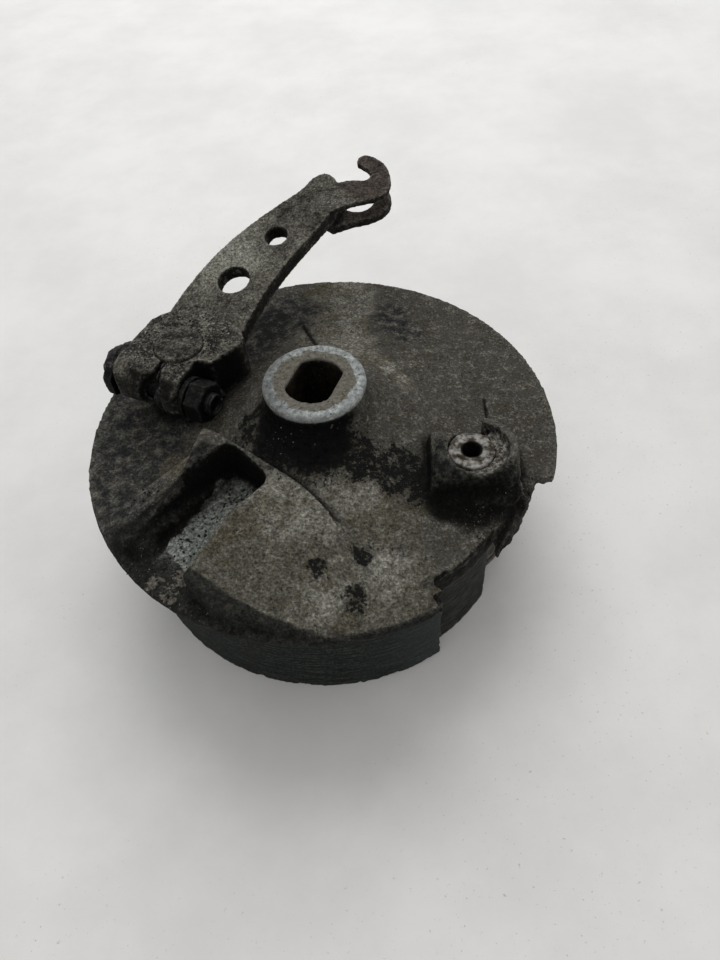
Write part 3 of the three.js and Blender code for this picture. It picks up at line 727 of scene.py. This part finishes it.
class Surface:
    """A piece's vertices as arrays, with its convex edges and hollows measured."""

    def __init__(self, piece):
        self.mesh = piece.data
        self.points = read_array(self.mesh.vertices, "co", 3)
        self.normals = read_array(self.mesh.vertices, "normal", 3)
        ends = read_array(self.mesh.edges, "vertices", 2, int)
        self.first = np.concatenate([ends[:, 0], ends[:, 1]])
        self.second = np.concatenate([ends[:, 1], ends[:, 0]])
        self.valence = np.bincount(self.first, minlength=len(self.points)).clip(1)

    def spread(self, values, rounds):
        """Averages values, or points, with their neighbours'."""
        for _ in range(rounds):
            columns = values.reshape(len(values), -1).T
            sums = [np.bincount(self.first, column[self.second], len(values)) for column in columns]
            average = (np.array(sums) / self.valence).T.reshape(values.shape)
            values = 0.5 * values + 0.5 * average
        return values

    def relief(self, rounds):
        """How far each point stands out of its surroundings, in metres. Hollows are negative."""
        offset = self.points - self.spread(self.points, rounds)
        return np.einsum("ij,ij->i", offset, self.normals)

    def push(self, distance):
        self.points = self.points + self.normals * distance[:, None]

    def from_axle(self):
        """The points in mm from the axle, and from the level of the flange."""
        return (self.points - np.array(AXLE)) / MM

    def store(self, name, values):
        attribute = self.mesh.attributes.get(name) or self.mesh.attributes.new(name, "FLOAT", "POINT")
        attribute.data.foreach_set("value", np.clip(values, 0, 1).astype(np.float32))

    def mottle(self, level, size):
        """Even, patchy wear and dirt for a small piece."""
        for mask in ("wear", "cavity"):
            self.store(mask, level + level * rough_noise(self.points, size * MM))

    def save(self):
        """Writes the points back, kept inside the frame's overall box."""
        low, high = np.array(cad_bounds[0]), np.array(cad_bounds[1])
        inside = 0.02 * MM
        self.points = np.clip(self.points, low + inside, high - inside)
        self.mesh.vertices.foreach_set("co", self.points.ravel())
        self.mesh.update()


def weather(piece, chips=0.35, pits=0.12, waves=0.10, edge_width=0.12, lines=(), surface=None):
    """Chips the edges, pits and waves the surface, and stores wear, cavity, hollow-shade and line masks.
    Lengths in mm.
    """
    surface = surface or Surface(piece)
    relief = surface.relief(8)
    edge = np.clip(relief / (edge_width * MM), 0, 1)
    chipped = np.clip(rough_noise(surface.points, 2.2 * MM) - 0.05, 0, 1)
    pitted = np.clip(rough_noise(surface.points + 0.05, 1.3 * MM) - 0.45, 0, 1)
    waved = rough_noise(surface.points + 0.11, 6 * MM)
    surface.push(-MM * (chips * edge * chipped + pits * pitted) + MM * waves * waved * (1 - edge))
    # painted shade: how deep each point lies in a broad hollow, for the looks to paint dark
    hollow_shade = np.clip(-surface.relief(60) / MM - 0.12, 0, 0.5) * 2
    surface.store("hollow_shade", surface.spread(hollow_shade, 3))
    surface.store("wear", surface.spread(edge, 2))
    # cavity: small creases, painted dark later as dirt and painted shade
    surface.store("cavity", surface.spread(np.clip(-relief / (edge_width * MM), 0, 1), 3))
    near_line = np.zeros(len(surface.points))
    for start, end, width in lines:
        near_line = np.maximum(near_line, segment_mask(surface.points, start, end, width))
    near_line *= surface.normals[:, 2] > 0.1
    surface.store("line", near_line)
    surface.push(-0.35 * MM * near_line)
    surface.save()


def segment_mask(points, start, end, width):
    """1 on a line between two points given in mm from the axle, seen from above, fading over its width."""
    from_axle = (points[:, :2] - np.array(AXLE)[:2]) / MM
    start, end = np.array(start, float), np.array(end, float)
    along = end - start
    share = np.clip((from_axle - start) @ along / (along @ along), 0, 1)
    distance = np.linalg.norm(from_axle - start - share[:, None] * along, axis=1)
    return np.clip(1.6 - distance / width, 0, 1)


def dress(piece, look, body, node, slot):
    """Gives a piece its material and body, and hides the CAD node it replaces. The slot is not used."""
    piece.data.materials.clear()
    piece.data.materials.append(look)
    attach(piece, body)
    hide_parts(node)


def prism_object(name, outline, low, high):
    """A closed prism between two heights, from an anticlockwise outline of (x, y) points in metres."""
    count = len(outline)
    points = [(x, y, low) for x, y in outline] + [(x, y, high) for x, y in outline]
    faces = [tuple(reversed(range(count))), tuple(range(count, 2 * count))]
    for i in range(count):
        j = (i + 1) % count
        faces.append((i, j, count + j, count + i))
    return mesh_object(name, points, faces)


# ---- backing plate ----
def around(angle, radius):
    return AXLE.x + radius * math.cos(angle), AXLE.y + radius * math.sin(angle)


def fracture_cutter():
    """The broken-out stretch of flange, with ragged ends and a ragged inner edge."""
    first, last = math.radians(-66.5), math.radians(-22.5)
    inner, outer = 57.5 * MM, RIM + 6 * MM
    jag = lambda size: random.uniform(-size, size)

    def torn_end(angle, start, end):
        return [around(angle + jag(0.012), start + (end - start) * i / 8) for i in range(9)]

    outline = torn_end(first, inner, outer)
    outline.append(around((first + last) / 2, outer + 12 * MM))
    outline += torn_end(last, outer, inner)
    steps = 26
    for step in range(1, steps):
        angle = last + (first - last) * step / steps
        outline.append(around(angle, inner + abs(jag(0.5)) * MM))
    return prism_object("fracture", outline, AXLE.z - 2.9 * MM, AXLE.z + 3 * MM)


def soften(surface, rounds, patches):
    """Melts the outer face within (x, y, radius) patches, in mm from the axle."""
    from_axle = surface.from_axle()
    mask = np.zeros(len(surface.points))
    for x, y, radius in patches:
        distance = np.hypot(from_axle[:, 0] - x, from_axle[:, 1] - y)
        mask = np.maximum(mask, np.clip(1.5 - distance / radius, 0, 1))
    mask *= np.clip(from_axle[:, 2] + 1, 0, 1)
    for _ in range(rounds):
        surface.points += (surface.spread(surface.points, 1) - surface.points) * mask[:, None]


def between(start, end, steps, radius):
    """Round patches along a line."""
    shares = [i / steps for i in range(steps + 1)]
    return [(start[0] + (end[0] - start[0]) * t, start[1] + (end[1] - start[1]) * t, radius) for t in shares]


def crumble(surface):
    """Breaks up the fracture where the flange was lost."""
    from_axle = surface.from_axle()
    radius = np.hypot(from_axle[:, 0], from_axle[:, 1])
    angle = np.degrees(np.arctan2(from_axle[:, 1], from_axle[:, 0]))
    mask = np.clip((radius - 52.5) / 1.5, 0, 1)
    mask *= np.clip((angle + 69) / 2, 0, 1) * np.clip((-21 - angle) / 2, 0, 1)
    surface.push(mask * MM * (0.55 * rough_noise(surface.points, 2.6 * MM, 4) - 0.25))


def make_plate():
    plate = cad_copy("backing_plate", "plate")
    carve(plate, fracture_cutter())
    # banks of dirt along the slot's wall and at the foot of the anchor boss, in mm from the axle
    wall = [(-24.2 + SLOT_X * t, -11.4 + SLOT_Y * t) for t in range(1, 29, 3)]
    lumps = []
    for i, (x, y) in enumerate(wall):
        wide, high = [size * random.uniform(0.8, 1.2) for size in (1.7 + 0.3 * i, 1.6 + 0.25 * i)]
        lumps.append((AXLE + Vector((x, y, 0)) * MM, (3, wide, high)))
    add_lumps(plate, lumps, Matrix.Rotation(SLOT_LINE, 4, "Z"))
    foot = [(27.5, -24.8), (31, -26.4), (34.5, -27), (38, -27.4), (41.5, -27.4), (44.6, -26.6)]
    lumps = [
        (AXLE + Vector((x, y, 0.8)) * MM, (3.8, random.uniform(3.2, 4.4), random.uniform(2.4, 3.6)))
        for x, y in foot
    ]
    add_lumps(plate, lumps, Matrix.Identity(4))
    refine(plate, 0.5, rounds=3)
    surface = Surface(plate)
    bank = between((-30, -4), (-52, -19), 6, 5) + between((-55, -22), (-47, -35), 3, 4.5)
    soften(surface, 70, bank + [(-35, -15, 4), (-47, -33, 5)])
    sector = between((-27, -32), (-33, -42), 3, 3) + between((-33, -42), (-24, -52), 3, 4.5)
    soften(surface, 36, sector + between((-24, -52), (-5, -59), 4, 3.5))
    soften(surface, 60, between((5.6, -37), (10.5, -52), 5, 5))  # the end of the sector's ridge
    soften(surface, 12, [(x + 1, y - 1, 3) for x, y in wall])
    soften(surface, 30, [(x, y - 1.5, 3.2) for x, y in foot])
    crumble(surface)
    # two scratches, and the cracks beside the break
    lines = [((-3.4, 40.3), (0.8, 26.9), 0.45), ((44.3, 4.6), (43.4, -8), 0.35),
             ((48.2, -28.2), (47.6, -29.8), 1.4), ((46.4, -29.4), (44.0, -33.4), 0.8),
             ((44.0, -33.4), (38.8, -41.2), 0.65)]
    weather(plate, chips=0.12, pits=0.16, waves=0.05, lines=lines, surface=surface)
    dress(plate, cast_plate_look(), "brake_panel", "backing_plate", "cast_plate")
    return plate


def make_arm():
    arm = finer_copy("brake_arm", "arm", 0.34, 4)
    weather(arm, chips=0.16, pits=0.14, waves=0.05)
    dress(arm, arm_look(), "cam_lever", "brake_arm", "arm_steel")
    return arm


# ---- caked grease and grit ----
def on_arm(across, along, height):
    """A place given in mm from the camshaft's axis along the bolt and the arm, and above the flange."""
    return Vector((CAM.x, CAM.y, AXLE.z)) + (ACROSS * across + ALONG * along + Vector((0, 0, height))) * MM


def make_caked_grease():
    """The black lump round the bolt head, and what has gathered under the nut and in the hub's split."""
    basis = Matrix((ACROSS, ALONG, (0, 0, 1))).transposed().to_4x4()
    blobs = [
        ((-14.8, -7.4, 12.6), (3.0, 5.4, 5.2)), ((-13.0, -6.2, 13.4), (3.0, 5.4, 4.8)),
        ((-15.8, -8.4, 12.8), (2.3, 4.2, 4.8)), ((9.4, -9.6, 7.0), (1.6, 5.3, 2.9)),
        ((0.0, -11.4, 9.2), (2.2, 1.9, 3.8)), ((-0.2, -6.5, 15.6), (0.8, 4.6, 2.0)),
        ((11.5, -3.4, 7.4), (2.6, 2.2, 2.2)),
    ]
    piece = new_object("caked_grease", bpy.data.meshes.new("caked_grease"))
    add_lumps(piece, [(on_arm(*centre), radii) for centre, radii in blobs], basis)
    refine(piece, 0.3, rounds=2)
    surface = Surface(piece)
    surface.push(MM * 0.45 * rough_noise(surface.points, 3 * MM, 4))
    weather(piece, chips=0.2, pits=0.3, waves=0.1, surface=surface)
    dress(piece, greasy_look("caked_black_grease", CAM, 1.9), "cam_lever", "pinch_bolt", "greasy_steel")


def make_bolt_thread():
    """The end of the pinch bolt's thread, standing just clear of the nut."""
    path = []
    start, radius, pitch, turns, steps = 13.6, 2.55, 0.75, 3, 24
    for i in range(turns * steps + 1):
        turn = 2 * math.pi * i / steps
        rim = (BOLT_LINE[0] + radius * math.cos(turn), BOLT_LINE[1] + radius * math.sin(turn))
        path.append(on_arm(start + pitch * i / steps, *rim))
    piece = sweep("clamp_bolt_thread", path, 0.36 * MM)
    surface = Surface(piece)
    surface.push(MM * 0.08 * rough_noise(surface.points, 1.2 * MM))
    surface.mottle(0.3, 1.5)
    surface.save()
    dress(piece, greasy_look("thread_grease", CAM, 1.6), "cam_lever", "pinch_bolt", "greasy_steel")


def chamfer(surface, centre, axis, face, flats):
    """Takes the corners off a hexagon at one end, as a nut's are. The axis points out of that end."""
    centre, axis = np.array(centre), np.array(axis)
    offset = surface.points - centre
    axial = offset @ axis
    radial = offset - axial[:, None] * axis
    radius = np.linalg.norm(radial, axis=1)
    allowed = flats / 2 * 0.97 + 1.7 * np.maximum(face - axial, 0)
    ratio = np.minimum(1, allowed / np.maximum(radius, 1e-6))
    surface.points = centre + axial[:, None] * axis + radial * ratio[:, None]


def grit(name, target, spots, count, sizes, look, body, node, slot):
    """Crumbs lying on a piece, thrown into round (x, y, radius) spots given in metres."""
    faces = [tuple(p.vertices) for p in target.data.polygons]
    tree = BVHTree.FromPolygons([v.co for v in target.data.vertices], faces)
    work = bmesh.new()
    for _ in range(count):
        x, y, radius = random.choice(spots)
        turn, reach = random.uniform(0, 2 * math.pi), radius * random.random() ** 0.6
        start = Vector((x + reach * math.cos(turn), y + reach * math.sin(turn), 0.1))
        place = tree.ray_cast(start, Vector((0, 0, -1)))[0]
        if place is None:
            continue
        size = random.uniform(*sizes) * MM
        made = bmesh.ops.create_icosphere(work, subdivisions=1, radius=size)
        angle, tilt = random.uniform(0, 6), Vector((random.random(), random.random(), 0.3))
        turned = Matrix.Rotation(angle, 3, tilt.normalized())
        flat = Vector((1, random.uniform(0.5, 0.9), random.uniform(0.35, 0.7)))
        for vertex in made["verts"]:
            vertex.co = turned @ (vertex.co * flat * random.uniform(0.7, 1.25)) + place
    piece = bmesh_object(name, work)
    surface = Surface(piece)
    surface.store("wear", 0.5 + 0.5 * rough_noise(surface.points, 3 * MM))
    surface.store("cavity", 0.3 + 0.6 * rough_noise(surface.points + 0.2, 2 * MM))
    dress(piece, look, body, node, slot)


def crumb_look(name, dark, light):
    look = Look(name)
    tone = look.noise(1.4, 5, 0.75)
    look.colour = look.tones(tone, (0.38, *dark), (0.6, *light))
    look.wear(tuple(1.6 * c for c in light), 0.4, 0.6)
    return look.finish(0.9, 0.0, [(look.noise(0.4, 3), 0.1)])


def on_plate(radius, *spots):
    """Round spots for grit, given in mm from the axle."""
    return [(AXLE.x + x * MM, AXLE.y + y * MM, radius * MM) for x, y in spots]


def on_hub(radius, *spots):
    """Round spots for grit on the arm's hub, given in mm along the bolt and the arm."""
    return [(*on_arm(across, along, 0).xy, radius * MM) for across, along in spots]


def make_grit(plate, arm):
    dark = crumb_look("dark_grit", (0.006, 0.006, 0.0055), (0.034, 0.032, 0.028))
    pale = crumb_look("pale_grit", (0.10, 0.10, 0.09), (0.30, 0.295, 0.27))
    slot = on_plate(4, (-24, -20), (-28, -26), (-33, -30), (-38, -36), (-34, -38), (-20, -20))
    rim = on_plate(5, (-45, -38), (-38, -46), (-30, -52), (36, -34), (41, -33), (-44, -22))
    block = on_plate(4, (12, -16), (22, -22), (-10, -13), (50, -26), (38, -36))
    wide = on_plate(56, (0, 0))
    of_plate = ("brake_panel", "backing_plate", "cast_plate")
    grit("slot_crumbs", plate, slot + rim, 260, (0.15, 0.55), dark, *of_plate)
    grit("plate_crumbs", plate, block + wide, 340, (0.12, 0.36), dark, *of_plate)
    grit("pale_crumbs", plate, rim + block + wide, 120, (0.1, 0.24), pale, *of_plate)
    of_arm = ("cam_lever", "brake_arm", "arm_steel")
    hub = on_hub(5, (-8, 4), (-8, -4), (6, 5), (0, 9), (8, 0), (-4, 10), (2, -7))
    grit("clamp_crumbs", arm, hub, 260, (0.12, 0.42), dark, *of_arm)
    ring = on_hub(2.2, (-7, 3), (-4, 8), (2, 9), (7, 5), (9, 2), (-9, -3))
    grit("clamp_pale_crumbs", arm, ring, 90, (0.1, 0.26), pale, *of_arm)


def make_small_pieces():
    """Pieces that need no more than a finer, worn copy of their CAD node."""
    lever, panel = "cam_lever", "brake_panel"
    grease = greasy_look("black_grease_steel", CAM, 0.5)
    dull = steel_look("dull_steel", CAM, (0.09, 0.083, 0.075))
    spring_clip = steel_look("blued_clip_steel", ANCHOR, (0.05, 0.046, 0.042), 0.3)
    rubbed = steel_look("rubbed_wear_plate", CAM, (0.16, 0.15, 0.14), 0.35, 0.7)
    felt = soft_look("greasy_felt", CAM, (0.03, 0.025, 0.02), 0.3)
    rubber = soft_look("aged_rubber", AXLE, (0.02, 0.02, 0.02), 0.8)
    bolt_middle = on_arm(0, *BOLT_LINE)
    hex_ends = {
        "pinch_nut": (bolt_middle, ACROSS, 14.1 * MM, 10 * MM),
        "pinch_bolt": (bolt_middle, -ACROSS, 16 * MM, 10 * MM),
    }
    pieces = [  # name, node, body, voxel in mm, slot, look
        ("shaft", "cam_shaft", lever, 0.30, "cam_steel", shaft_look()),
        ("clamp_bolt", "pinch_bolt", lever, 0.22, "greasy_steel", grease),
        ("clamp_washer", "pinch_washer", lever, 0.18, "greasy_steel", grease),
        ("clamp_nut", "pinch_nut", lever, 0.20, "greasy_steel", grease),
        ("thrust_washer", "cam_washer", lever, 0.25, "dull_steel", dull),
        ("felt_ring", "cam_felt_seal", panel, 0.25, "felt", felt),
        ("hub_seal_ring", "hub_seal", panel, 0.30, "seal_rubber", rubber),
        ("pivot_pin", "anchor_pin", panel, 0.22, "anchor_steel", anchor_pin_look()),
        ("pivot_washer", "anchor_washer", panel, 0.25, "dull_steel", dull),
        ("pivot_clip", "anchor_clip", panel, 0.18, "spring_steel", spring_clip),
    ]
    for side in ("lower", "upper"):
        name, node, body = side + "_wear_plate", side + "_slipper", side + "_shoe_set"
        pieces.append((name, node, body, 0.25, "slipper_steel", rubbed))
    for name, node, body, voxel, slot, look in pieces:
        piece = finer_copy(node, name, voxel, 2)
        surface = Surface(piece)
        if node in hex_ends:
            chamfer(surface, *hex_ends[node])
        if node in ("cam_shaft", "anchor_pin"):  # dirt closes most of the gap round them
            surface.push(0.2 * MM + 0.16 * MM * rough_noise(surface.points, 2.4 * MM, 4))
        weather(piece, chips=0.15, pits=0.05, waves=0.04, edge_width=0.08, surface=surface)
        dress(piece, look, body, node, slot)


def anchor_pin_look():
    look = Look("corroded_pivot_pin", ANCHOR)
    fine = look.noise(0.4, 4, 0.7)
    blotch = look.noise(1.9, 5, 0.6, 5)
    look.colour = look.tones(blotch,
        (0.36, 0.026, 0.018, 0.012), (0.46, 0.066, 0.056, 0.044), (0.53, 0.19, 0.184, 0.17),
        (0.66, 0.38, 0.38, 0.36))
    pin_hole_shade = look.ramp(look.vector("LENGTH", look.flat(look.place)), 3.0, 2.5)
    look.wear((0.4, 0.39, 0.37), 0.3, 0.6)
    # painted shade: the pin's centre hole painted black
    look.paint(0.97, pin_hole_shade, (0.002, 0.002, 0.002))
    return look.finish(0.8, 0.1, [(fine, 0.08), (blotch, 0.3)])


def shaft_look():
    """The camshaft: its end is as grimy as the hub round it, the rest is oily steel."""
    look = Look("grimy_shaft", CAM)
    fine, middling = forged_grain(look)
    tone = look.total((0.45, fine), (0.55, middling))
    look.colour = look.tones(tone,
        (0.36, 0.007, 0.007, 0.007), (0.46, 0.026, 0.025, 0.023), (0.54, 0.07, 0.067, 0.058),
        (0.64, 0.13, 0.125, 0.108))
    oily = look.ramp(look.axis(look.place, 2), -8, -14)
    look.paint(0.7, oily, (0.115, 0.108, 0.098))
    crumbs = look.patch(0.2, look.noise(0.8, 4, 0.8, 33), 1.25, 0.1)
    look.paint(0.5, crumbs, (0.24, 0.235, 0.215))
    look.wear((0.12, 0.115, 0.10), 0.3, 0.8)
    return finish_forged(look, look.less(0.75, look.share(0.3, oily)), look.share(0.5, oily))


def make_shoes():
    alloy = shoe_look()
    friction = lining_look()
    for side in ("lower", "upper"):
        body = side + "_shoe_set"
        shoe = finer_copy(side + "_shoe", side + "_shoe_casting", 0.55, 3)
        weather(shoe, chips=0.3, pits=0.15, waves=0.08)
        dress(shoe, alloy, body, side + "_shoe", "shoe_alloy")
        lining = finer_copy(side + "_lining", side + "_friction_lining", 0.5, 2)
        weather(lining, chips=0.7, pits=0.15, waves=0.05)
        dress(lining, friction, body, side + "_lining", "lining")


# ---- return springs ----
def sweep(name, path, radius, sides=10):
    """A closed round tube along a list of points, with flat ends."""
    ring_points = []
    tangent = (path[1] - path[0]).normalized()
    side_way = tangent.orthogonal().normalized()
    for i, point in enumerate(path):
        ahead = path[min(i + 1, len(path) - 1)] - path[max(i - 1, 0)]
        side_way = (side_way - ahead * side_way.dot(ahead) / ahead.length_squared).normalized()
        other = ahead.normalized().cross(side_way)
        for k in range(sides):
            turn = 2 * math.pi * k / sides
            ring_points.append(point + radius * (math.cos(turn) * side_way + math.sin(turn) * other))
    faces = [tuple(reversed(range(sides)))]
    for i in range(len(path) - 1):
        for k in range(sides):
            here, there = i * sides + k, i * sides + (k + 1) % sides
            faces.append((here, there, there + sides, here + sides))
    last = (len(path) - 1) * sides
    faces.append(tuple(range(last, last + sides)))
    tube = mesh_object(name, [tuple(p) for p in ring_points], faces)
    shade_smooth(tube)
    return tube


def make_springs():
    """Each return spring is two halves that meet at its middle, each named for its own shoe."""
    wire, coil = 0.8 * MM, 3.6 * MM
    coil_half, hook_at = 13 * MM, 28.6 * MM
    half_turns = 11
    look = steel_look("spring_wire", AXLE, (0.07, 0.062, 0.055), 0.45)
    mid_height = middle("lower_shoe").z
    rise = 4.5 * MM
    along = Vector((math.cos(CAM_LINE), math.sin(CAM_LINE), 0))
    across = Vector((-along.y, along.x, 0))
    for place, node in ((24 * MM, "cam_side_spring"), (-24 * MM, "anchor_side_spring")):
        for side, body in ((1, "lower_shoe_set"), (-1, "upper_shoe_set")):
            base = Vector((AXLE.x, AXLE.y, mid_height)) + along * place
            spot = lambda x, y, z: base + along * x + across * (side * y) + Vector((0, 0, z))
            path = []
            steps = half_turns * 12
            for i in range(steps + 1):
                share = i / steps
                turn = math.pi * half_turns * share
                path.append(spot(coil * math.sin(turn), coil_half * share, coil * math.cos(turn) * side))
            hook = [(coil_half + 3 * MM, rise - 0.4 * MM), (hook_at - 3 * MM, rise),
                    (hook_at, rise - 0.6 * MM), (hook_at, 0), (hook_at, -rise + 0.6 * MM),
                    (hook_at - 3 * MM, -rise)]
            bend = smooth_path([path[-1]] + [spot(0, y, z) for y, z in hook], 8)
            piece = sweep(f"{node}_{body.split('_')[0]}_half", path + bend[1:], wire)
            Surface(piece).mottle(0.25, 2)
            piece.data.materials.append(look)
            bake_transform(piece)
            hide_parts(node)


def smooth_path(points, steps):
    """Points along a smooth curve through the given ones."""
    made = []
    for i in range(len(points) - 1):
        before, a = points[max(i - 1, 0)], points[i]
        b, after = points[i + 1], points[min(i + 2, len(points) - 1)]
        for k in range(steps):
            t = k / steps
            made.append(0.5 * (2 * a + (b - before) * t + (2 * before - 5 * a + 4 * b - after) * t**2
                               + (3 * a - before - 3 * b + after) * t**3))
    return made + [points[-1]]


make_camera()
make_light()
make_floor()
plate = make_plate()
arm = make_arm()
make_small_pieces()
make_caked_grease()
make_bolt_thread()
make_grit(plate, arm)
make_shoes()
make_springs()
